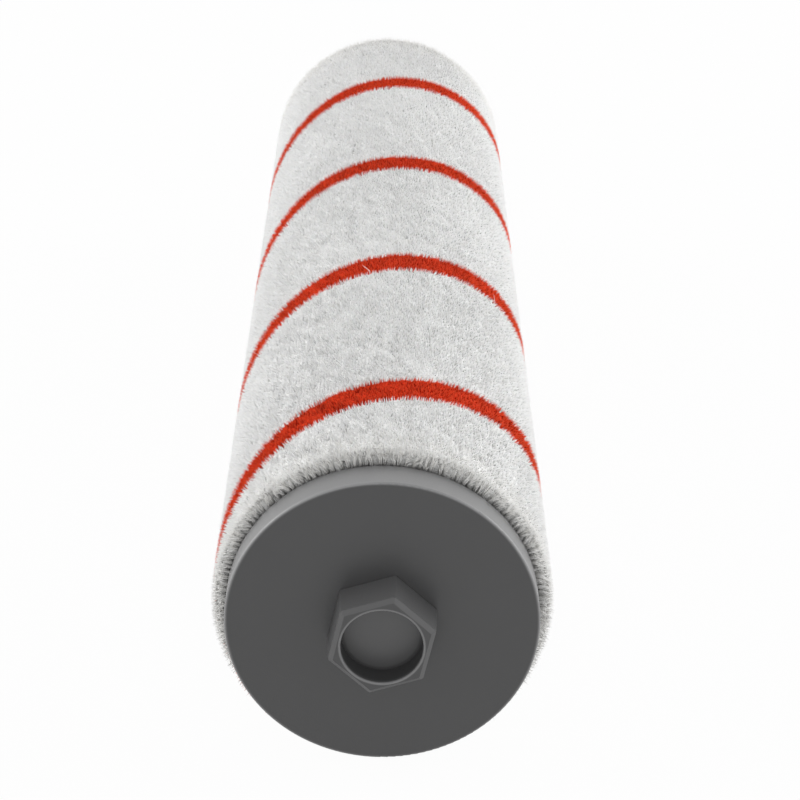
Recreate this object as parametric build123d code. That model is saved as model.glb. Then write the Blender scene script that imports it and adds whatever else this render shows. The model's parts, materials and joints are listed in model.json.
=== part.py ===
from build123d import *

# Soft roller brush of a vacuum cleaner's floor head.
# The roller's axis is Y. Its hexagon drive boss faces -Y and its idler axle faces +Y.
# The origin is on the axis, in the outer face of the drive cap's flange. Z is up, and the
# roller lies on a small flat spot that its own weight presses into the pile.

import math
import os

# Driving dimensions, in millimetres and degrees.

# Core tube
tube_diameter = 35.0
tube_wall = 2.0
tube_length = 196.4

# Pile, wound on the tube in a helix
glue_gap = 0.3
pile_height = 5.2
pile_edge_radius = 1.8
pile_edge_rise = 0.35
flat_spot_depth = 0.5

# Red pile strip: a right-handed helix between the turns of the grey pile
stripe_pitch = 48.5
stripe_width = 6.5
stripe_from_cap = 25.0
strip_gap = 0.1

# Flange and spigot of both end caps
flange_diameter = 42.0
flange_thickness = 5.2
flange_edge_radius = 0.3
face_wall = 2.4
spigot_length = 12.0
spigot_wall = 2.0
spigot_gap = 0.05
spigot_lead = 0.8

# Keys of the caps, which stop them turning in the tube's notches
key_width = 6.0
key_length = 4.0
key_gap = 0.1

# Ribs behind the face of each cap
rib_count = 6
rib_thickness = 1.6
rib_depth = 4.0

# Hexagon drive boss, moulded in one with the drive cap
hex_across_flats = 13.2
hex_height = 6.0
hex_draft = 1.9
hex_turn = -12.8
hex_corner_radius = 0.35
hex_chamfer = 0.6
boss_wall = 1.0
boss_bore_depth = 3.4
bore_lip_radius = 0.2
boss_web = 2.4
boss_core_diameter = 7.0
boss_hub_wall = 2.2

# Shielded ball bearing of the idler end
bearing_bore = 6.0
bearing_diameter = 19.0
bearing_width = 6.0
bearing_edge_radius = 0.3
ball_count = 7
race_gap = 0.04
cage_thickness = 1.2
cage_gap = 0.25
cage_web = 0.45
cage_prong = 0.9
pocket_gap = 0.1
shield_thickness = 0.25
shield_recess = 0.2
shield_gap = 0.3
shield_seat = 0.7

# Bearing seat of the idler cap
bearing_recess = 1.2
bearing_lip_thickness = 1.6
bearing_lip_width = 1.4
seat_wall = 1.9
press_gap = 0.01

# Idler axle and its E-clip
axle_reach = 9.6
axle_chamfer = 0.6
collar_diameter = 9.0
collar_thickness = 1.5
collar_edge = 0.3
clip_diameter = 10.4
clip_rim = 1.3
clip_thickness = 0.7
clip_groove_depth = 0.5
clip_gap = 0.05
clip_opening = 4.2
clip_tab_width = 2.0

# Values that follow from the driving dimensions.

tube_radius = tube_diameter / 2
tube_bore_radius = tube_radius - tube_wall
tube_start = flange_thickness
tube_end = tube_start + tube_length
far_face = tube_end + flange_thickness
pile_bore_radius = tube_radius + glue_gap
pile_radius = pile_bore_radius + pile_height
spigot_radius = tube_bore_radius - spigot_gap
spigot_bore_radius = spigot_radius - spigot_wall

hex_tip_flats = hex_across_flats - 2 * hex_height * math.tan(math.radians(hex_draft))
boss_bore_radius = hex_tip_flats / 2 - boss_wall

bearing_radius = bearing_diameter / 2
bearing_half = bearing_width / 2
axle_radius = bearing_bore / 2 - press_gap
shield_outer_face = bearing_half - shield_recess
shield_inner_face = shield_outer_face - shield_thickness
cage_back = shield_inner_face - cage_gap
pocket_radius = cage_back - cage_web
ball_radius = pocket_radius - pocket_gap
race_radius = ball_radius + race_gap
ball_circle_radius = (bearing_bore + bearing_diameter) / 4
shoulder_offset = cage_thickness / 2 + cage_gap
inner_shoulder_radius = ball_circle_radius - shoulder_offset
outer_shoulder_radius = ball_circle_radius + shoulder_offset
shield_outer_radius = outer_shoulder_radius + shield_seat

# Places along the idler cap's own axis, which starts in its outer face and runs into the roller.
bearing_front = bearing_recess
bearing_back = bearing_front + bearing_width
clip_back = bearing_front - clip_gap
clip_front = clip_back - clip_thickness
groove_front = clip_front - clip_gap


def rod(radius, start, end):
    """Cylinder about the roller's axis, between two places along it."""
    cylinder = Cylinder(radius, end - start, align=(Align.CENTER, Align.CENTER, Align.MIN))
    return Pos(0, start, 0) * Rot(-90, 0, 0) * cylinder


def ring(inner_radius, outer_radius, start, end):
    """Plain ring about the roller's axis."""
    return rod(outer_radius, start, end) - rod(inner_radius, start, end)


def end_circle(shape, end):
    """The largest circular edge at the first (0) or last (-1) place of a shape along the axis."""
    circles = shape.edges().filter_by(GeomType.CIRCLE)
    return circles.group_by(Axis.Y)[end].sort_by(SortBy.RADIUS)[-1]


def soft_rod(radius, start, end, edge_radius):
    """Cylinder about the roller's axis with both rims rounded."""
    plain = rod(radius, start, end)
    return fillet([end_circle(plain, 0), end_circle(plain, -1)], edge_radius)


def cross_bar(length, width, start, end):
    """Bar across the roller's axis along X, which cuts or makes two opposite keys."""
    return Pos(0, (start + end) / 2, 0) * Box(length, end - start, width)


def core_tube():
    """Plastic tube with two key notches in each end."""
    tube = ring(tube_bore_radius, tube_radius, tube_start, tube_end)
    across = 2 * tube_diameter
    tube -= cross_bar(across, key_width, tube_start, tube_start + key_length)
    tube -= cross_bar(across, key_width, tube_end - key_length, tube_end)
    return tube


def pile_room():
    """Room that the pile fills, with a soft shoulder at each end and the flat spot below."""
    room = soft_rod(pile_radius + pile_edge_rise, tube_start, tube_end, pile_edge_radius)
    floor = Pos(0, tube_start, flat_spot_depth - 2 * pile_radius)
    return room - floor * Box(2 * pile_radius, 2 * tube_length, 2 * pile_radius)


def helical_strip(width, from_cap):
    """Pile strip wound right-handed on the tube, with its middle line from_cap away at the top."""
    start = tube_start - width
    middle_radius = (pile_bore_radius + pile_radius) / 2
    section = Plane.XZ * Pos(middle_radius, 0) * Rectangle(pile_height, width)
    path = Helix(stripe_pitch, tube_length + 2 * width, middle_radius)
    strip = sweep(section, path=path, is_frenet=True)
    start_angle = 90 - 360 * (start - from_cap) / stripe_pitch
    wound = Pos(0, start, 0) * Rot(0, -start_angle, 0) * Rot(-90, 0, 0) * strip
    return wound & pile_room()


def plush_strip():
    """Grey pile strip, which fills the tube between the turns of the red one."""
    width = stripe_pitch - stripe_width - 2 * strip_gap
    return helical_strip(width, stripe_from_cap + stripe_pitch / 2)


def red_pile_strip():
    """Narrow red pile strip."""
    return helical_strip(stripe_width, stripe_from_cap)


def cap_shell():
    """Flange, spigot and keys of an end cap, with its outer face at zero and open to +Y."""
    flange = soft_rod(flange_diameter / 2, 0, flange_thickness, flange_edge_radius)
    spigot_end = flange_thickness + spigot_length
    spigot = rod(spigot_radius, face_wall, spigot_end)
    spigot = chamfer(end_circle(spigot, -1), spigot_lead)
    key_end = flange_thickness + key_length - key_gap
    key_bar = cross_bar(2 * tube_diameter, key_width - 2 * key_gap, face_wall, key_end)
    keys = rod(tube_radius, face_wall, key_end) & key_bar
    return flange + spigot + keys - rod(spigot_bore_radius, face_wall, spigot_end)


def cap_ribs(inner_radius):
    """Ribs behind a cap's face, from its hub to the inside of its spigot."""
    length = (spigot_bore_radius + spigot_radius) / 2
    rib = Pos(length / 2, face_wall + rib_depth / 2, 0) * Box(length, rib_depth, rib_thickness)
    ribs = [Rot(0, 360 * turn / rib_count, 0) * rib for turn in range(rib_count)]
    return Part() + ribs - rod(inner_radius, 0, face_wall + rib_depth)


def hexagon_boss():
    """Hexagon boss in front of the drive cap, with draft, soft corners and a chamfered tip."""
    root = RegularPolygon(hex_across_flats / 2, 6, major_radius=False, rotation=90)
    boss = extrude(root, hex_height, taper=hex_draft)
    boss = chamfer(boss.faces().sort_by(Axis.Z)[-1].edges(), hex_chamfer)
    boss = fillet(boss.edges().filter_by(Plane.XY, reverse=True), hex_corner_radius)
    return Rot(0, -hex_turn, 0) * Rot(90, 0, 0) * boss


def drive_cap():
    """Drive cap: flange, spigot, hexagon boss with its blind bore, and the hub and ribs behind."""
    core_radius = boss_core_diameter / 2
    hub_radius = core_radius + boss_hub_wall
    bore_floor = boss_bore_depth - hex_height
    hub_end = face_wall + rib_depth
    boss = hexagon_boss() - rod(boss_bore_radius, -hex_height, bore_floor)
    boss = fillet(end_circle(boss, 0), bore_lip_radius)
    cap = cap_shell() + boss + rod(hub_radius, face_wall, hub_end) + cap_ribs(core_radius)
    return cap - rod(core_radius, bore_floor + boss_web, hub_end)


def at_idler_end(shape):
    """Moves a shape from the idler cap's own axis to its place on the roller."""
    return Pos(0, far_face, 0) * Rot(0, 0, 180) * shape


def idler_cap():
    """Idler cap: flange, spigot and ribs, with a lipped seat that the bearing is pressed into."""
    seat_radius = bearing_radius + press_gap
    hub_end = bearing_back + bearing_lip_thickness
    hub = rod(seat_radius + seat_wall, face_wall, hub_end)
    cap = cap_shell() + hub + cap_ribs(seat_radius)
    cap -= rod(seat_radius, 0, bearing_back)
    cap -= rod(bearing_radius - bearing_lip_width, bearing_back, hub_end)
    return at_idler_end(cap)


def race_torus():
    """Torus that the balls run in, about the bearing's middle."""
    return Rot(-90, 0, 0) * Torus(ball_circle_radius, race_radius)


def at_bearing(shape):
    """Moves a shape from the bearing's own middle to its place on the roller."""
    return at_idler_end(Pos(0, bearing_front + bearing_half, 0) * shape)


def bearing_outer_ring():
    """Outer ring with its race, rounded outer edges and a seat for a shield at each side."""
    body = soft_rod(bearing_radius, -bearing_half, bearing_half, bearing_edge_radius)
    body -= rod(outer_shoulder_radius, -bearing_half, bearing_half)
    shield_room = rod(shield_outer_radius, shield_inner_face, bearing_half)
    return at_bearing(body - shield_room - mirror(shield_room, Plane.XZ) - race_torus())


def bearing_inner_ring():
    """Inner ring with its race."""
    body = ring(bearing_bore / 2, inner_shoulder_radius, -bearing_half, bearing_half)
    return at_bearing(body - race_torus())


def ball_planes():
    """Planes at the balls' places on their pitch circle, facing out from the axis, with X along it."""
    turns = [2 * math.pi * ball / ball_count for ball in range(ball_count)]
    outward = [Vector(math.cos(turn), 0, math.sin(turn)) for turn in turns]
    return [Plane(way * ball_circle_radius, x_dir=(0, 1, 0), z_dir=way) for way in outward]


def bearing_ball(plane):
    """One ball, at its place on the pitch circle."""
    return at_bearing(plane * Sphere(ball_radius))


def bearing_cage():
    """Crown cage: a ring with a round pocket for each ball, open on one side."""
    half = cage_thickness / 2
    cage = ring(ball_circle_radius - half, ball_circle_radius + half, -cage_back, cage_prong)
    for plane in ball_planes():
        cage -= plane * Cylinder(pocket_radius, 2 * cage_thickness)
    return at_bearing(cage)


def shield_disc():
    """Thin shield that is pressed into the outer ring and clear of the inner one."""
    inner_radius = inner_shoulder_radius + shield_gap
    outer_radius = shield_outer_radius - press_gap
    return ring(inner_radius, outer_radius, shield_inner_face, shield_outer_face)


def bearing_front_shield():
    """Shield that faces out of the idler cap."""
    return at_bearing(mirror(shield_disc(), Plane.XZ))


def bearing_back_shield():
    """Shield that faces into the roller."""
    return at_bearing(shield_disc())


def idler_axle():
    """Steel pin with a collar behind the bearing, a clip groove in front of it and a chamfered tip."""
    collar_end = bearing_back + collar_thickness
    pin = rod(axle_radius, -axle_reach, collar_end)
    pin = chamfer(end_circle(pin, 0), axle_chamfer)
    collar = rod(collar_diameter / 2, bearing_back, collar_end)
    collar = chamfer(end_circle(collar, -1), collar_edge)
    groove = ring(axle_radius - clip_groove_depth, bearing_bore, groove_front, bearing_front)
    return at_idler_end(pin + collar - groove)


def axle_clip():
    """E-clip in the axle's groove: an open ring with three tabs that grip the groove's floor."""
    groove_radius = axle_radius - clip_groove_depth + clip_gap
    rim_radius = clip_diameter / 2 - clip_rim
    rim = ring(rim_radius, clip_diameter / 2, clip_front, clip_back)
    reach = clip_diameter / 2 - clip_rim / 2
    tab = Pos(reach / 2, (clip_front + clip_back) / 2, 0) * Box(reach, clip_thickness, clip_tab_width)
    tabs = [Rot(0, turn, 0) * tab for turn in (0, 90, 180)]
    opening = Pos(0, clip_back, clip_diameter / 2) * Box(clip_opening, 2 * clip_thickness, clip_diameter)
    return at_idler_end(rim - opening + tabs - rod(groove_radius, clip_front, clip_back))


single_pieces = [
    core_tube,
    plush_strip,
    red_pile_strip,
    drive_cap,
    idler_cap,
    bearing_outer_ring,
    bearing_inner_ring,
    bearing_cage,
    bearing_front_shield,
    bearing_back_shield,
    idler_axle,
    axle_clip,
]

pieces = {piece.__name__: piece() for piece in single_pieces}
for number, plane in enumerate(ball_planes(), 1):
    pieces[f"bearing_ball_{number}"] = bearing_ball(plane)

os.makedirs("parts", exist_ok=True)
for name, shape in pieces.items():
    export_step(shape, f"parts/{name}.step")
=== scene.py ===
import json
import math

import bpy
import numpy as np
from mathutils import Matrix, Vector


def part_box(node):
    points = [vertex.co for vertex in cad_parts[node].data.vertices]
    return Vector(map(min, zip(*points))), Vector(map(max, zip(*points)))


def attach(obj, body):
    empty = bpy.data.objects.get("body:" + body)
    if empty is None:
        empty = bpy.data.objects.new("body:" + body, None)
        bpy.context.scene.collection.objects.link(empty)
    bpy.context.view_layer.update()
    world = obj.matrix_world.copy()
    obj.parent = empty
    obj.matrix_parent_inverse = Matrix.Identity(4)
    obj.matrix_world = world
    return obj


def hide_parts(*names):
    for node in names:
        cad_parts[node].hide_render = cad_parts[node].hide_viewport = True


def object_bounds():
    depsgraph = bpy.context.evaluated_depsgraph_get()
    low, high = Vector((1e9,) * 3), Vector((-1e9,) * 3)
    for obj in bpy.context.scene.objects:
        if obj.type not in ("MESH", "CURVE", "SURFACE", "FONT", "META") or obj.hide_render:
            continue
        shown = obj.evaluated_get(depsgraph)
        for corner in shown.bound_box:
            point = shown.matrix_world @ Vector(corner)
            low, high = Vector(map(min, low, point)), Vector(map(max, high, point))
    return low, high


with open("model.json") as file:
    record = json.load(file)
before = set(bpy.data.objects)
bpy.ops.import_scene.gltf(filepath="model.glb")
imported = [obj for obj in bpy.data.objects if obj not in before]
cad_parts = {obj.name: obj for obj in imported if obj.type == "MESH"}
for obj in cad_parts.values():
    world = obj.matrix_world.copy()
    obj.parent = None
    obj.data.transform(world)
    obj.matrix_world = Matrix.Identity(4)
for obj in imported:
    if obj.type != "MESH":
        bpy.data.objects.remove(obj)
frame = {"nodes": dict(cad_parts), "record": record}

cad_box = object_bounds()
mm = 0.001

# The roller as it was made: sizes in millimetres, taken from its solids where they have them
tube_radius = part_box("core_tube")[1].x / mm
rim_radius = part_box("drive_cap")[1].x / mm
boss_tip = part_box("drive_cap")[0].y / mm
pile_low, pile_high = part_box("plush_strip")
pile_radius = pile_high.x / mm
pile_start = pile_low.y / mm
pile_end = pile_high.y / mm
pile_length = pile_end - pile_start
pile_middle = (pile_start + pile_end) / 2
floor_height = cad_box[0].z / mm

# The hexagon boss: its chamfer and the bore in it
boss_chamfer = 0.6
bore_radius = 5.4
bore_lip = 0.2

# The caps' plastic: how much paler its flange side, hexagon sides and bore floor are painted, as painted
# light, and how much paler its worn edges are, with a painted highlight, as shares of the pale colours
side_painted_light = 0.72
bore_floor_painted_light = 0.16
boss_painted_light = 0.30
edge_wear_and_highlight = 0.8
chamfer_wear_and_highlight = 0.22

# The red stripe's helix: its pitch, its width, and where its first turn crosses the top. Fibres lean less
# within a short way of its edges, which keeps them clean
stripe_pitch = 48.5
stripe_width = 6.5
stripe_from_cap = 25.2
stripe_raggedness = 0.08
stripe_calm = 1.0
stripe_least_lean = 0.4

# The pile: how far apart its fibres stand, how wide they are, and how they lean together in tufts
fibre_spacing = 0.37
fibre_width = 0.20
fibre_depth = 0.90
fibre_unevenness = 0.045
tip_rise = 0.15
fibre_lean = 0.19
brushed_lean = 0.16
tuft_spacing = 0.80
tuft_pull = 0.25

# The open ends of the pile, where longer fibres splay over the caps
shoulder = 1.2
end_drop = 0.15
end_gap = 0.2
end_lean = 0.5
fringe_start = 0.15
fringe_rows = 8
fringe_spacing = 0.25
fringe_depth = 2.4
fringe_width = 0.21
fringe_unevenness = 0.12
fringe_splay = 1.0
fringe_droop = 1.2
fringe_tufts = 0.95
fringe_gather = 0.62
fringe_fan = 0.40
fringe_lean = 0.30
fringe_sweep = 0.7
fringe_scatter = 0.25

# Loose fibres that lie over the pile, most of them along the stripe's edges
hair_count = 60
hair_bends = 4
hair_width = 0.13
hair_reach = 2.0
hair_rise = 0.25
hair_tone = 0.9
hairs_at_stripe = 0.6

# The woven backing that the fibres stand in
backing_below_tips = 0.60
backing_set_back = 0.8
backing_shoulder = 1.1
backing_drop = 0.7
backing_lumps = 0.10
backing_clearance = 0.3
backing_around = 160
backing_along = 120
backing_shoulder_steps = 24

# The fibres' colour card: rows of tones, columns of warmth, one small cell for each fibre
tone_rows = 64
warmth_columns = 256

# Where fibres lie on the card, from 0 to 1, and how far they scatter. The pile is warmer towards its ends.
# The fringe sits higher on the card and so paler: painted light on the pile's shaded end walls
plush_tone = 0.5
plush_tone_swirl = 0.16
plush_tone_spread = 0.28
plush_warmth = 0.35
plush_warmth_spread = 0.2
end_warmth = 0.45
end_warmth_reach = 9
fringe_painted_light_tone = 0.70
fringe_tone_spread = 0.20
fringe_warmth = 0.75
fringe_warmth_spread = 0.15

full_turn = 2 * math.pi
top = math.pi / 2


class Value:
    """What comes out of a node. Sums on it add Math nodes to its finish."""

    def __init__(self, finish, socket):
        self.finish = finish
        self.socket = socket

    def sum(self, operation, first, second):
        return self.finish.node("ShaderNodeMath", {"operation": operation}, {0: first, 1: second})

    def __add__(self, other):
        return self.sum("ADD", self, other)

    def __radd__(self, other):
        return self.sum("ADD", other, self)

    def __sub__(self, other):
        return self.sum("SUBTRACT", self, other)

    def __rsub__(self, other):
        return self.sum("SUBTRACT", other, self)

    def __mul__(self, other):
        return self.sum("MULTIPLY", self, other)

    def __rmul__(self, other):
        return self.sum("MULTIPLY", other, self)

    def __truediv__(self, other):
        return self.sum("DIVIDE", self, other)

    def __abs__(self):
        return self.sum("ABSOLUTE", self, 0.0)


class Finish:
    """The nodes of one finish, and the few ways of adding to them that the finishes share."""

    def __init__(self, block):
        block.use_nodes = True
        self.block = block
        self.tree = block.node_tree
        self.tree.nodes.clear()

    def node(self, kind, settings, sockets, out=0):
        """Adds a node, sets it up, feeds its sockets, and gives what comes out of it."""
        made = self.tree.nodes.new(kind)
        for name, setting in settings.items():
            if name == "stops":
                self.set_stops(made.color_ramp, setting)
            else:
                setattr(made, name, setting)
        for name, value in sockets.items():
            if isinstance(value, Value):
                self.tree.links.new(value.socket, made.inputs[name])
            else:
                made.inputs[name].default_value = value
        if made.outputs:
            return Value(self, made.outputs[out])

    def set_stops(self, ramp, stops):
        while len(ramp.elements) < len(stops):
            ramp.elements.new(1.0)
        for element, (position, colour) in zip(ramp.elements, stops):
            element.position = position
            element.color = (*colour, 1.0)

    def place(self):
        """Where a point is on the part, in the part's own frame and in metres."""
        return self.node("ShaderNodeTexCoord", {}, {}, "Object")

    def axes(self, vector):
        return [self.node("ShaderNodeSeparateXYZ", {}, {0: vector}, axis) for axis in "XYZ"]

    def vector(self, x, y, z):
        return self.node("ShaderNodeCombineXYZ", {}, {"X": x, "Y": y, "Z": z})

    def root(self, value):
        return self.node("ShaderNodeMath", {"operation": "SQRT"}, {0: value})

    def fraction(self, value):
        return self.node("ShaderNodeMath", {"operation": "FRACT"}, {0: value})

    def floor(self, value):
        return self.node("ShaderNodeMath", {"operation": "FLOOR"}, {0: value})

    def nearest(self, value):
        return self.node("ShaderNodeMath", {"operation": "ROUND"}, {0: value})

    def largest(self, first, second):
        return self.node("ShaderNodeMath", {"operation": "MAXIMUM"}, {0: first, 1: second})

    def angle(self, rise, run):
        return self.node("ShaderNodeMath", {"operation": "ARCTAN2"}, {0: rise, 1: run})

    def from_axis(self):
        """Distance from the roller's axis, place along it, and angle about it."""
        x, y, z = self.axes(self.place())
        return self.root(x * x + z * z), y, self.angle(z, x)

    def ease(self, value, start, end):
        """0 at start and 1 at end, with a soft bend at both."""
        return self.node(
            "ShaderNodeMapRange",
            {"interpolation_type": "SMOOTHSTEP"},
            {"Value": value, "From Min": start, "From Max": end},
        )

    def noise(self, vector, size, detail=2.0, roughness=0.5):
        """A random pattern, 0 to 1, with features of about that size in millimetres."""
        return self.node(
            "ShaderNodeTexNoise",
            {},
            {"Vector": vector, "Scale": 1 / (size * mm), "Detail": detail, "Roughness": roughness},
        )

    def ramp(self, value, stops):
        return self.node("ShaderNodeValToRGB", {"stops": stops}, {"Fac": value})

    def mix(self, share, first, second, blend="MIX"):
        """The first colour with a share of the second one."""
        colours = [c if isinstance(c, Value) else (*c, 1.0) for c in (first, second)]
        return self.node(
            "ShaderNodeMix",
            {"data_type": "RGBA", "blend_type": blend, "clamp_result": True},
            {0: share, 6: colours[0], 7: colours[1]},
            2,
        )

    def bump(self, height, depth):
        """A relief of that depth in millimetres."""
        return self.node("ShaderNodeBump", {}, {"Height": height, "Distance": depth * mm, "Strength": 1.0})

    def surface(self, sockets):
        """Ends the finish with its surface, and gives the material."""
        shader = self.node("ShaderNodeBsdfPrincipled", {}, sockets)
        self.node("ShaderNodeOutputMaterial", {}, {"Surface": shader})
        return self.block


def new_finish(name):
    return Finish(bpy.data.materials.new(name))


# Finishes of the moulded, turned and pressed pieces


def moulded_cap_plastic():
    """Dark grey moulding with a fine spark-eroded grain. The flange's side, the hexagon's sides and the
    bore's floor are painted paler, as painted light. Edges of the drive flange, the hexagon and its bore are
    worn paler and carry a painted highlight."""
    finish = new_finish("cap_plastic")
    radius, along, _ = finish.from_axis()
    grain = finish.noise(finish.place(), 0.16, 3.0, 0.6)
    flow = finish.noise(finish.place(), 7.0, 2.0)
    from_rim = abs(radius - rim_radius * mm)
    from_tip = along - boss_tip * mm
    from_lip = abs(radius - bore_radius * mm) + abs(from_tip)
    edge = 1 - finish.ease(from_rim + abs(along), 0.15 * mm, 0.5 * mm)
    lip = 1 - finish.ease(from_lip, bore_lip * mm, 2 * bore_lip * mm)
    on_flank = finish.ease(from_tip, boss_chamfer * mm, 1.1 * boss_chamfer * mm)
    on_chamfer = finish.ease(from_tip, 0.02 * mm, 0.08 * mm) * (1 - on_flank)
    # The flange's front edge, the bore's lip and the hexagon's chamfer are worn paler and carry a painted
    # highlight
    wear_and_highlight = finish.largest(edge_wear_and_highlight * edge, finish.largest(lip, chamfer_wear_and_highlight * on_chamfer))
    on_side = 1 - finish.ease(from_rim, 0.12 * mm, 0.32 * mm)
    in_bore = finish.ease(radius, 0.95 * bore_radius * mm, 0.9 * bore_radius * mm)
    on_floor = in_bore * finish.ease(along, 0.0, -0.5 * mm)
    outside = finish.ease(radius, bore_radius * mm, 1.05 * bore_radius * mm)
    on_boss = on_flank * outside * finish.ease(along, 0.0, -0.2 * mm)
    # Painted light: the flange's side, the hexagon's sides and the bore's floor get a paler share, for the
    # light that falls on them
    painted_light_share = finish.largest(
        side_painted_light * on_side,
        finish.largest(bore_floor_painted_light * on_floor, boss_painted_light * on_boss),
    )
    plain = finish.mix(flow, (0.032, 0.032, 0.033), (0.037, 0.037, 0.038))
    speckled = finish.mix(0.30 * grain, plain, (0.055, 0.055, 0.056))
    # The paler colour here is painted light on the flange's side, the hexagon's sides and the bore's floor
    smooth = finish.mix(painted_light_share, speckled, (0.235, 0.235, 0.237))
    # Paler worn edges, with a painted highlight along them
    colour = finish.mix(0.5 * wear_and_highlight, smooth, (0.28, 0.28, 0.282))
    return finish.surface(
        {
            "Base Color": colour,
            "Roughness": 0.34 + 0.16 * grain,
            "Specular IOR Level": 0.7,
            "Normal": finish.bump(grain, 0.012),
        }
    )


def extruded_tube_plastic():
    """Off-white tube with faint draw lines along its length."""
    finish = new_finish("tube_plastic")
    _, along, angle = finish.from_axis()
    lines = finish.noise(finish.vector(angle * (tube_radius * mm), 0.01 * along, 0.0), 0.5, 3.0)
    colour = finish.mix(lines, (0.55, 0.55, 0.53), (0.68, 0.68, 0.66))
    return finish.surface(
        {"Base Color": colour, "Roughness": 0.42 + 0.15 * lines, "Normal": finish.bump(lines, 0.02)}
    )


def turned_steel(name, dark, light, roughness, line_width):
    """Bare steel with the fine rings that turning or grinding leaves about the axis."""
    finish = new_finish(name)
    radius, along, _ = finish.from_axis()
    rings = finish.noise(finish.vector(radius, along, 0.0), line_width, 3.0, 0.65)
    haze = finish.noise(finish.place(), 2.5, 2.0)
    return finish.surface(
        {
            "Base Color": finish.mix(rings * haze * 2, dark, light),
            "Metallic": 1.0,
            "Roughness": roughness + 0.14 * rings,
            "Normal": finish.bump(rings, 0.006),
        }
    )


def pressed_steel(name, dark, light, roughness, grain_size):
    """Sheet steel with the dull, slightly cloudy skin of a pressing."""
    finish = new_finish(name)
    grain = finish.noise(finish.place(), grain_size, 4.0, 0.6)
    clouds = finish.noise(finish.place(), 3.0, 2.0)
    return finish.surface(
        {
            "Base Color": finish.mix(clouds, dark, light),
            "Metallic": 1.0,
            "Roughness": roughness + 0.18 * grain,
            "Normal": finish.bump(grain, 0.008),
        }
    )


def nylon():
    """Natural nylon, cream, with faint flow marks."""
    finish = new_finish("cage_plastic")
    flow = finish.noise(finish.place(), 0.8, 3.0)
    return finish.surface(
        {
            "Base Color": finish.mix(flow, (0.60, 0.55, 0.42), (0.74, 0.70, 0.58)),
            "Roughness": 0.38 + 0.12 * flow,
            "Normal": finish.bump(flow, 0.01),
        }
    )


# Finishes of the pile


def fibre_finish(name, root, middle, tip, cool, warm, darkest):
    """Plush fibre: dark at its root, pale at its tip, the darker root being painted shade deep in the pile.
    Each one is a little lighter or warmer than the next. The fibre's place on the colour card says which."""
    finish = new_finish(name)
    card = finish.node("ShaderNodeUVMap", {"uv_map": "OFBake"}, {})
    across, up, _ = finish.axes(card)
    tone = finish.floor(up * tone_rows) / tone_rows
    along = finish.fraction(up * tone_rows)
    warmth = finish.floor(across * warmth_columns) / warmth_columns
    # Painted shade: the fibre darkens towards its root, for the shade deep in the pile
    painted_root_shade = finish.ramp(along, [(0.0, root), (0.45, middle), (0.92, tip)])
    tinted = finish.mix(1.0, painted_root_shade, finish.mix(warmth, cool, warm), "MULTIPLY")
    shades = finish.ramp(tone, [(0.0, (darkest,) * 3), (1.0, (1.0,) * 3)])
    toned = finish.mix(1.0, tinted, shades, "MULTIPLY")
    return finish.surface({"Base Color": toned, "Roughness": 0.8, "Specular IOR Level": 0.15})


def backing_finish():
    """The ground of the pile, between the fibres: shaded grey, and shaded red along the stripe."""
    finish = new_finish("pile_backing")
    _, along, angle = finish.from_axis()
    speckle = finish.noise(finish.place(), 0.45, 3.0, 0.6)
    turn = (along - stripe_from_cap * mm) / (stripe_pitch * mm) + (angle - top) / full_turn
    offset = abs(turn - finish.nearest(turn)) * stripe_pitch
    ragged = offset + stripe_raggedness * 4 * (speckle - 0.5)
    in_grey = finish.ease(ragged, stripe_width / 2 - 0.2, stripe_width / 2 + 0.2)
    grey = finish.ramp(speckle, [(0.28, (0.55, 0.55, 0.54)), (0.55, (0.92, 0.92, 0.915))])
    red = finish.ramp(speckle, [(0.28, (0.30, 0.012, 0.004)), (0.55, (0.78, 0.050, 0.012))])
    from_end = finish.node(
        "ShaderNodeMath",
        {"operation": "MINIMUM"},
        {0: along - pile_start * mm, 1: pile_end * mm - along},
    )
    # Painted shade: towards the pile's open ends the backing is dulled to a mid grey, for the shade under the
    # fringe
    shaded = finish.ease(from_end, 2 * backing_set_back * mm, backing_set_back * mm)
    colour = finish.mix(0.4 * shaded, finish.mix(in_grey, red, grey), (0.62, 0.62, 0.61))
    return finish.surface(
        {
            "Base Color": colour,
            "Roughness": 0.9,
            "Specular IOR Level": 0.1,
            "Normal": finish.bump(speckle, 0.25),
        }
    )


# Shaping the pile


def stripe_offset(angle, along):
    """Distance along the roller from the middle of the nearest turn of the red stripe."""
    turn = (along - stripe_from_cap) / stripe_pitch + (angle - top) / full_turn
    return (turn - np.round(turn)) * stripe_pitch


def leaning_share(angle, along):
    """How much of its lean a fibre keeps: less of it close to the stripe's edges."""
    from_edge = np.abs(np.abs(stripe_offset(angle, along)) - stripe_width / 2)
    return np.clip(from_edge / stripe_calm, stripe_least_lean, 1)


def from_nearest_end(along):
    return np.minimum(along - pile_start, pile_end - along)


def tip_height(along):
    """Radius that the fibre tips reach: level over the roller, and lower over its soft shoulders."""
    drop = np.clip(1 - from_nearest_end(along) / shoulder, 0, 1)
    return pile_radius + tip_rise - end_drop * drop ** 2


def on_roller(angle, along, radius):
    """Points in the part's frame, kept above the floor that the pile rests on."""
    points = np.stack([radius * np.cos(angle), along, radius * np.sin(angle)], -1)
    points[..., 2] = np.maximum(points[..., 2], floor_height)
    return points


def brushed(angle, along, phase):
    """A slow swirl over the roller, from -1 to 1, as the pile was last brushed."""
    waves = np.sin(3 * angle + along / 11 + phase) + np.sin(5 * angle - along / 17 + 2.1 * phase)
    return (waves + np.sin(2 * angle + along / 5.3 + 3.7 * phase)) / 3


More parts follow.
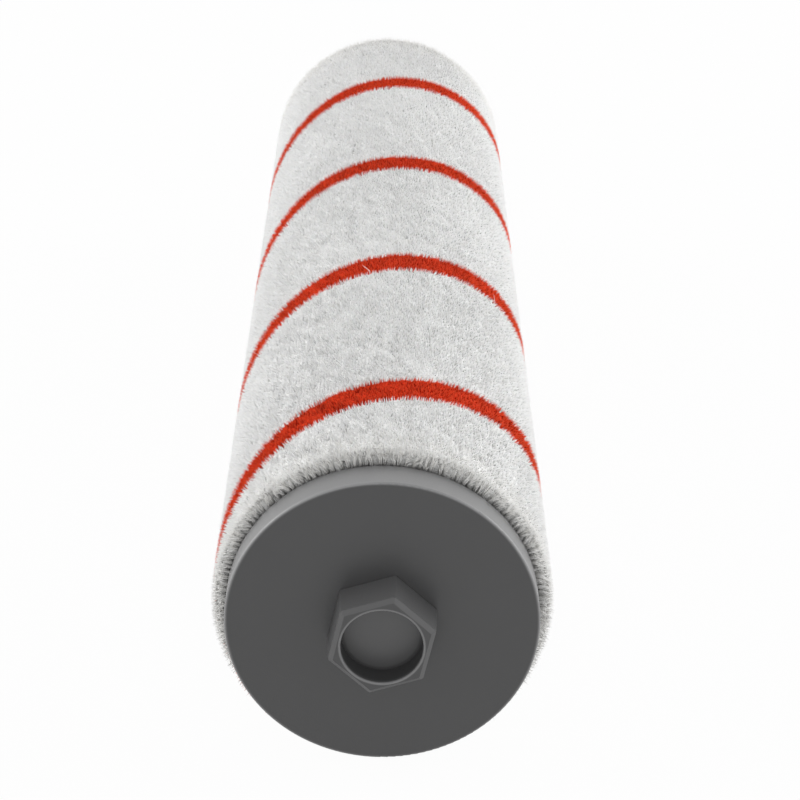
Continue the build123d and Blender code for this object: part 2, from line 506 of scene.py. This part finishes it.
def jittered_roots(draw, spacing, first, last):
    """Angle and place along of fibre roots, one in each cell of an even grid."""
    around = round(full_turn * pile_radius / spacing)
    rows = round((last - first) / spacing)
    column, row = [grid.ravel() for grid in np.meshgrid(np.arange(around), np.arange(rows))]
    angle = (column + draw.random(column.size)) * full_turn / around
    along = first + (row + draw.random(row.size)) * (last - first) / rows
    return angle, along


def tuft_middles(draw, angle, along, spacing):
    """Angle and place along of the middle of each fibre's tuft, and a lean that the tuft's fibres share."""
    around = round(full_turn * pile_radius / spacing)
    rows = math.ceil(pile_length / spacing)
    shift = draw.random((2, rows, around))
    shared_lean = draw.normal(size=(rows, around))
    column = np.floor(angle / full_turn * around).astype(int) % around
    row = np.clip(((along - pile_start) / spacing).astype(int), 0, rows - 1)
    middle_angle = (column + shift[0, row, column]) * full_turn / around
    middle_along = pile_start + (row + shift[1, row, column]) * spacing
    return middle_angle, middle_along, shared_lean[row, column]


def varied(draw, width, count):
    """Widths of that many fibres, a quarter more or less than the one given."""
    return width * (0.75 + 0.5 * draw.random(count))


def short_way(angle):
    """The same angle, from minus half a turn to half a turn."""
    return (angle + math.pi) % full_turn - math.pi


def grow(draw, angle, along, lean_around, lean_along, root_radius, tip_radius, width, bends):
    """Points of three-sided fibres from their roots to their tips, with one more ring for each bend."""
    turn = draw.random(angle.size) * full_turn
    rings = []
    for ring in range(1 + bends):
        part = ring / (1 + bends)
        leaning = part ** 1.7
        radius = root_radius + part * (tip_radius - root_radius)
        centre_angle = angle + leaning * lean_around / radius
        centre_along = along + leaning * lean_along
        for corner in range(3):
            side = turn + corner * full_turn / 3
            reach = width * (1 - part / 2) / math.sqrt(3)
            rings.append(
                on_roller(
                    centre_angle + reach * np.cos(side) / radius,
                    centre_along + reach * np.sin(side),
                    radius,
                )
            )
    rings.append(on_roller(angle + lean_around / tip_radius, along + lean_along, tip_radius))
    return np.stack(rings, 1)


def fibre_triangles(bends):
    """The triangles that close one fibre, as numbers of its points."""
    last = 3 * bends
    faces = [(0, 1, 2)]
    for base in range(0, last, 3):
        for corner in range(3):
            here, following = base + corner, base + (corner + 1) % 3
            faces += [(here, here + 3, following), (following, here + 3, following + 3)]
    faces += [(last + corner, last + 3, last + (corner + 1) % 3) for corner in range(3)]
    return np.array(faces)


def card_places(tone, warmth, bends):
    """Each fibre point's place on the colour card, from the root's edge of its cell to the tip's."""
    row = np.clip((tone * tone_rows).astype(int), 0, tone_rows - 1)
    column = np.clip((warmth * warmth_columns).astype(int), 0, warmth_columns - 1)
    sideways = np.array([0.2, 0.8, 0.5] * (1 + bends) + [0.5])
    rings = 0.06 + 0.88 * np.arange(1 + bends) / (1 + bends)
    upward = np.append(np.add.outer(rings, [0.0, 0.0, 0.08]), 0.94)
    across = (column[:, None] + sideways) / warmth_columns
    up = (row[:, None] + upward) / tone_rows
    return np.stack([across, up], -1)


def mesh_piece(name, points, triangles, card=None):
    """A smooth mesh piece on the roller, from points in millimetres."""
    mesh = bpy.data.meshes.new(name)
    mesh.vertices.add(len(points))
    mesh.vertices.foreach_set("co", (points * mm).astype(np.float32).ravel())
    mesh.loops.add(triangles.size)
    mesh.loops.foreach_set("vertex_index", triangles.astype(np.int32).ravel())
    mesh.polygons.add(len(triangles))
    mesh.polygons.foreach_set("loop_start", np.arange(0, triangles.size, 3, dtype=np.int32))
    if card is not None:
        layer = mesh.uv_layers.new(name="OFBake")
        layer.data.foreach_set("uv", card[triangles.ravel()].astype(np.float32).ravel())
    mesh.update(calc_edges=True)
    mesh.shade_smooth()
    piece = bpy.data.objects.new(name, mesh)
    bpy.context.scene.collection.objects.link(piece)
    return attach(piece, "roller")


class Fibres:
    """Fibres of one kind: their points and their places on the colour card, to be cut into pieces."""

    def __init__(self, points, bends, tone, warmth):
        self.points = points
        self.bends = bends
        self.card = card_places(tone, warmth, bends)

    def piece(self, name, chosen):
        points = self.points[chosen]
        count, size = points.shape[:2]
        triangles = fibre_triangles(self.bends)[None] + size * np.arange(count)[:, None, None]
        return mesh_piece(
            name,
            points.reshape(-1, 3),
            triangles.reshape(-1, 3),
            self.card[chosen].reshape(-1, 2),
        )


def plush_fibres(draw):
    """The pile's short fibres over the whole roller, which of them are red, and their places along it."""
    angle, along = jittered_roots(draw, fibre_spacing, pile_start + end_gap, pile_end - end_gap)
    middle_angle, middle_along, shared_lean = tuft_middles(draw, angle, along, tuft_spacing)
    count = angle.size
    towards_middle = short_way(middle_angle - angle)
    lean_around = (
        tuft_pull * towards_middle * pile_radius
        + brushed_lean * brushed(angle, along, 0.4)
        + fibre_lean / 2 * shared_lean
        + fibre_lean * draw.normal(size=count)
    )
    near_end = np.clip(1 - from_nearest_end(along) / shoulder, 0, 1)
    lean_along = (
        tuft_pull * (middle_along - along)
        + end_lean * near_end * np.sign(along - pile_middle)
        + brushed_lean * brushed(angle, along, 2.2)
        + fibre_lean * draw.normal(size=count)
    )
    kept = leaning_share(angle, along)
    tip_radius = tip_height(along) + fibre_unevenness * draw.normal(size=count)
    root_radius = tip_height(along) - fibre_depth
    width = varied(draw, fibre_width, count)
    points = grow(
        draw, angle, along, kept * lean_around, kept * lean_along, root_radius, tip_radius, width, 0
    )
    swirl = plush_tone_swirl * brushed(angle, along, 1.3)
    tone = plush_tone + swirl + plush_tone_spread * draw.normal(size=count)
    warmer = end_warmth * np.clip(1 - from_nearest_end(along) / end_warmth_reach, 0, 1)
    warmth = plush_warmth + warmer + plush_warmth_spread * draw.normal(size=count)
    ragged = stripe_raggedness * draw.normal(size=count)
    is_red = np.abs(stripe_offset(angle, along) + ragged) < stripe_width / 2
    return Fibres(points, 0, tone, warmth), is_red, along


def fringe_fibres(draw, end, inward):
    """Longer fibres round one open end of the pile, splayed over the cap behind its rim."""
    reach = fringe_rows * fringe_spacing
    first, last = sorted([end + fringe_start * inward, end + (fringe_start + reach) * inward])
    angle, along = jittered_roots(draw, fringe_spacing, first, last)
    middle_angle, _, shared_lean = tuft_middles(draw, angle, along, fringe_tufts)
    count = angle.size
    depth = np.abs(along - end) / (reach + fringe_start)
    towards_middle = short_way(middle_angle - angle)
    lean_around = (
        -fringe_fan * towards_middle * pile_radius
        + fringe_sweep * brushed(4 * angle, along, 0.9)
        + fringe_lean * shared_lean
        + fringe_lean / 2 * draw.normal(size=count)
    )
    outward = fringe_splay * (1.1 - depth) * (0.6 + 0.8 * draw.random(count))
    lean_along = -inward * outward + fringe_scatter * draw.normal(size=count)
    droop = fringe_droop * np.clip(1 - depth, 0, 1) * draw.random(count) ** 2
    tip_radius = tip_height(along) - droop + fringe_unevenness * draw.normal(size=count)
    root_radius = tip_height(along) - fringe_depth
    width = varied(draw, fringe_width, count)
    root_angle = angle + fringe_gather * towards_middle
    points = grow(draw, root_angle, along, lean_around, lean_along, root_radius, tip_radius, width, 1)
    # Painted light: the fringe's fibres sit paler on the card than the plush, to brighten the shaded end wall
    tone = fringe_painted_light_tone + fringe_tone_spread * draw.normal(size=count)
    warmth = fringe_warmth + fringe_warmth_spread * draw.normal(size=count)
    is_red = np.abs(stripe_offset(angle, along)) < stripe_width / 2
    return Fibres(points, 1, tone, warmth), is_red


def loose_hairs(draw):
    """Long single fibres that have worked loose and lie over the pile."""
    angle = draw.random(hair_count) * full_turn
    turns = np.arange(math.floor(pile_length / stripe_pitch))
    turn = draw.choice(turns, hair_count)
    middle = stripe_from_cap + (turn - (angle - top) / full_turn) * stripe_pitch
    at_edge = middle + np.where(draw.random(hair_count) < 0.5, -1, 1) * (stripe_width / 2 + 0.3)
    anywhere = pile_start + draw.random(hair_count) * pile_length
    along = np.where(draw.random(hair_count) < hairs_at_stripe, at_edge, anywhere)
    along = np.clip(along, pile_start + 2 * hair_reach, pile_end - 2 * hair_reach)
    heading = draw.random(hair_count) * full_turn
    reach = hair_reach * (0.6 + 0.8 * draw.random(hair_count))
    points = grow(
        draw,
        angle,
        along,
        reach * np.cos(heading),
        reach * np.sin(heading),
        tip_height(along) - hair_rise,
        tip_height(along) + hair_rise,
        np.full(hair_count, hair_width),
        hair_bends,
    )
    tone = hair_tone + 0.09 * draw.random(hair_count)
    warmth = draw.random(hair_count)
    return Fibres(points, hair_bends, tone, warmth)


def backing_profile():
    """Place along and radius of the backing's outer skin, from one rounded shoulder to the other."""
    first = pile_start + backing_set_back
    last = pile_end - backing_set_back
    along = np.linspace(first, last, backing_along)
    ends = 0.5 * (1 - np.cos(np.linspace(0, math.pi, backing_shoulder_steps)))
    near = first + backing_shoulder * ends
    far = last - backing_shoulder * ends[::-1]
    along = np.concatenate([near, along[(along > near[-1]) & (along < far[0])], far])
    inset = np.clip(1 - np.minimum(along - first, last - along) / backing_shoulder, 0, 1)
    radius = pile_radius - backing_below_tips - backing_drop * (1 - np.sqrt(1 - inset ** 2))
    return along, radius


def pile_backing(draw):
    """The closed sleeve under the fibres: an uneven outer skin, a plain inner one, and two end walls."""
    along, radius = backing_profile()
    angle = np.arange(backing_around) * full_turn / backing_around
    grid_angle, grid_along = np.meshgrid(angle, along)
    lumps = backing_lumps * draw.normal(size=grid_angle.shape)
    outer_radius = radius[:, None] + lumps
    flat = on_roller(grid_angle, grid_along, outer_radius)
    flat[..., 2] = np.maximum(flat[..., 2], floor_height + backing_clearance)
    inner_radius = tube_radius + backing_clearance
    inner = on_roller(grid_angle[[-1, 0]], grid_along[[-1, 0]], inner_radius)
    rings = np.concatenate([flat, inner])
    count = len(rings)
    ring, step = [grid.ravel() for grid in np.indices((count, backing_around))]
    following = (step + 1) % backing_around
    this_ring = ring * backing_around
    next_ring = (ring + 1) % count * backing_around
    here, beside = this_ring + step, this_ring + following
    across, beyond = next_ring + following, next_ring + step
    triangles = np.concatenate([np.stack([here, across, beside], 1), np.stack([here, beyond, across], 1)])
    piece = mesh_piece("pile_backing", rings.reshape(-1, 3), triangles)
    piece.data.materials.append(backing_finish())
    return piece


def dress_pile():
    """The pile in pieces: grey lengths, the red stripe, the two fringes, and the backing under them."""
    draw = np.random.default_rng(7)
    # Both finishes darken towards the fibres' roots: painted shade deep in the pile
    grey = fibre_finish(
        "grey_pile",
        root=(0.80, 0.80, 0.79),
        middle=(0.90, 0.90, 0.895),
        tip=(0.96, 0.96, 0.955),
        cool=(0.98, 0.985, 1.0),
        warm=(1.0, 0.99, 0.965),
        darkest=0.86,
    )
    red = fibre_finish(
        "red_pile",
        root=(0.36, 0.014, 0.004),
        middle=(0.78, 0.058, 0.014),
        tip=(0.90, 0.100, 0.027),
        cool=(1.0, 0.80, 0.75),
        warm=(1.0, 1.0, 1.0),
        darkest=0.62,
    )
    pile_backing(draw)
    fibres, is_red, along = plush_fibres(draw)
    lengths = 4
    quarter = np.clip(((along - pile_start) / pile_length * lengths).astype(int), 0, lengths - 1)
    for part in range(lengths):
        piece = fibres.piece(f"plush_length_{part + 1}", ~is_red & (quarter == part))
        piece.data.materials.append(grey)
        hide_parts("plush_strip")
    stripe = fibres.piece("red_stripe", is_red)
    stripe.data.materials.append(red)
    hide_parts("red_pile_strip")
    for name, end, inward in [("drive", pile_start, 1), ("idler", pile_end, -1)]:
        fringe, fringe_red = fringe_fibres(draw, end, inward)
        for colour, finish, chosen in [("grey", grey, ~fringe_red), ("red", red, fringe_red)]:
            piece = fringe.piece(f"{name}_end_{colour}_fringe", chosen)
            piece.data.materials.append(finish)
    hairs = loose_hairs(draw).piece("loose_hairs", slice(None))
    hairs.data.materials.append(grey)


# Dressing the solids that show


def dress_solids():
    """Gives each solid the finish of its material slot, and the balls a polish of their own."""
    finishes = {
        "cap_plastic": moulded_cap_plastic(),
        "tube_plastic": extruded_tube_plastic(),
        "bearing_steel": turned_steel("bearing_steel", (0.50, 0.50, 0.51), (0.72, 0.72, 0.73), 0.20, 0.12),
        "shield_steel": pressed_steel("shield_steel", (0.42, 0.42, 0.43), (0.58, 0.58, 0.59), 0.30, 0.1),
        "cage_plastic": nylon(),
        "axle_steel": turned_steel("axle_steel", (0.44, 0.44, 0.45), (0.64, 0.64, 0.65), 0.24, 0.18),
        "clip_steel": pressed_steel("clip_steel", (0.10, 0.10, 0.105), (0.22, 0.22, 0.23), 0.32, 0.08),
    }
    polished = pressed_steel("ball_steel", (0.62, 0.62, 0.63), (0.74, 0.74, 0.75), 0.08, 0.3)
    for subpart in frame["record"]["subparts"]:
        node, slot = subpart["node"], subpart["material_slot"]
        if slot in finishes:
            materials = frame["nodes"][node].data.materials
            materials.clear()
            materials.append(polished if node.startswith("bearing_ball") else finishes[slot])


# The studio

camera_place = (0.534, -265.351, 154.503)
camera_tilt = (65.3460, -0.5720, -0.0610)
camera_lens = 103.77
camera_sensor = 36.0


def seen_directly(finish):
    """1 for what the camera, a reflection or glass looks at, and 0 for light that falls on the part."""
    seen = [
        finish.node("ShaderNodeLightPath", {}, {}, ray)
        for ray in ("Is Camera Ray", "Is Glossy Ray", "Is Transmission Ray")
    ]
    return finish.largest(seen[0], seen[1] + seen[2])


def white_floor():
    """A pale sweep that reads as white and still takes a soft shadow."""
    half = 1.5
    height = floor_height * mm
    mesh = bpy.data.meshes.new("floor")
    corners = [(-half, -half, height), (half, -half, height), (half, half, height), (-half, half, height)]
    mesh.from_pydata(corners, [], [(0, 1, 2, 3)])
    floor = bpy.data.objects.new("floor", mesh)
    bpy.context.scene.collection.objects.link(floor)
    finish = new_finish("floor_white")
    grain = finish.noise(finish.place(), 4.0, 2.0)
    paint = finish.node(
        "ShaderNodeBsdfDiffuse", {}, {"Color": finish.mix(grain, (0.59, 0.59, 0.59), (0.61, 0.61, 0.61))}
    )
    glow = finish.node("ShaderNodeEmission", {}, {"Color": (1, 1, 1, 1), "Strength": 1.0})
    lit = finish.node("ShaderNodeMixShader", {}, {0: 0.97 * seen_directly(finish), 1: paint, 2: glow})
    finish.node("ShaderNodeOutputMaterial", {}, {"Surface": lit})
    mesh.materials.append(finish.block)


def white_room():
    """White all round to the camera and to reflections, and an even fill on the part."""
    finish = Finish(bpy.data.worlds.new("white_room"))
    fill = 0.67
    strength = fill + (1 - fill) * seen_directly(finish)
    light = finish.node("ShaderNodeBackground", {}, {"Color": (1, 1, 1, 1), "Strength": strength})
    finish.node("ShaderNodeOutputWorld", {}, {"Surface": light})
    bpy.context.scene.world = finish.block


def soft_box(name, place, size, watts):
    """A square soft box, aimed at the middle of the roller."""
    data = bpy.data.lights.new(name, "AREA")
    data.size = size
    data.energy = watts
    lamp = bpy.data.objects.new(name, data)
    lamp.location = place
    middle = (cad_box[0] + cad_box[1]) / 2
    lamp.rotation_euler = (middle - lamp.location).to_track_quat("-Z", "Y").to_euler()
    bpy.context.scene.collection.objects.link(lamp)


def photo_camera():
    data = bpy.data.cameras.new("camera")
    data.lens = camera_lens
    data.sensor_width = camera_sensor
    camera = bpy.data.objects.new("camera", data)
    camera.location = [x * mm for x in camera_place]
    camera.rotation_euler = [math.radians(a) for a in camera_tilt]
    bpy.context.scene.collection.objects.link(camera)
    bpy.context.scene.camera = camera


dress_solids()
dress_pile()
white_floor()
white_room()
soft_box("back_box", (0.1, 1.2, 1.7), 1.2, 1.5)
soft_box("right_box", (1.3, 0.5, 0.5), 1.0, 16.0)
soft_box("left_box", (-1.3, 0.5, 0.5), 1.0, 14.5)
soft_box("front_box", (0.0, -1.8, 0.55), 1.2, 6.0)
photo_camera()
bpy.context.scene.view_settings.view_transform = "Standard"
